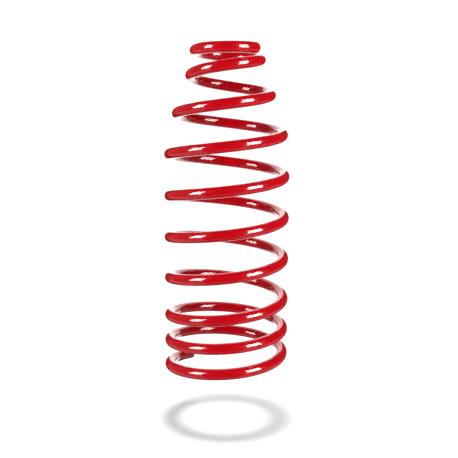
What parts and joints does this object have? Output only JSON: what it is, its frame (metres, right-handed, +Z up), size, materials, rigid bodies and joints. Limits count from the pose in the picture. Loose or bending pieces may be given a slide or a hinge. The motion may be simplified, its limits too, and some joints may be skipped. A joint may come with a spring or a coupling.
{
  "type": "coil spring",
  "caption": "Right-hand wound compression coil spring of round steel wire with a red coat, an open tail at the bottom and a narrow closed pigtail at the top.",
  "frame": {"origin": "on the axis of the coils, at the height of the lowest point of the wire", "axes": "+Z up the axis of the coils towards the narrow pigtail; -Y is the front, from which the strands rise to the right; +X to the right seen from the front"},
  "size_m": [0.137, 0.137, 0.3635],
  "materials": {
    "coated_wire": "glossy red powder coat over spring steel"
  },
  "bodies": {
    "lower_end_coil": {"lower_end_coil": "coated_wire"},
    "coil_2": {"coil_2": "coated_wire"},
    "coil_3": {"coil_3": "coated_wire"},
    "coil_4": {"coil_4": "coated_wire"},
    "coil_5": {"coil_5": "coated_wire"},
    "coil_6": {"coil_6": "coated_wire"},
    "coil_7": {"coil_7": "coated_wire"},
    "coil_8": {"coil_8": "coated_wire"},
    "upper_end_coil": {"upper_end_coil": "coated_wire"}
  },
  "joints": [
    {"name": "compression", "type": "slide", "parent": "lower_end_coil", "child": "upper_end_coil", "axis": [0, 0, -1], "range_m": [0, 0.174], "stiffness_N_per_m": 19500},
    {"name": "coil_2_travel", "type": "slide", "parent": "lower_end_coil", "child": "coil_2", "axis": [0, 0, -1], "range_m": [0, 0.015]},
    {"name": "coil_3_travel", "type": "slide", "parent": "lower_end_coil", "child": "coil_3", "axis": [0, 0, -1], "range_m": [0, 0.0304]},
    {"name": "coil_4_travel", "type": "slide", "parent": "lower_end_coil", "child": "coil_4", "axis": [0, 0, -1], "range_m": [0, 0.0578]},
    {"name": "coil_5_travel", "type": "slide", "parent": "lower_end_coil", "child": "coil_5", "axis": [0, 0, -1], "range_m": [0, 0.0904]},
    {"name": "coil_6_travel", "type": "slide", "parent": "lower_end_coil", "child": "coil_6", "axis": [0, 0, -1], "range_m": [0, 0.123]},
    {"name": "coil_7_travel", "type": "slide", "parent": "lower_end_coil", "child": "coil_7", "axis": [0, 0, -1], "range_m": [0, 0.153]},
    {"name": "coil_8_travel", "type": "slide", "parent": "lower_end_coil", "child": "coil_8", "axis": [0, 0, -1], "range_m": [0, 0.169]}
  ],
  "couplings": [
    {"joint": "coil_2_travel", "follows": "compression", "ratio": 0.086206},
    {"joint": "coil_3_travel", "follows": "compression", "ratio": 0.17471},
    {"joint": "coil_4_travel", "follows": "compression", "ratio": 0.33218},
    {"joint": "coil_5_travel", "follows": "compression", "ratio": 0.51954},
    {"joint": "coil_6_travel", "follows": "compression", "ratio": 0.7069},
    {"joint": "coil_7_travel", "follows": "compression", "ratio": 0.87931},
    {"joint": "coil_8_travel", "follows": "compression", "ratio": 0.97126}
  ]
}
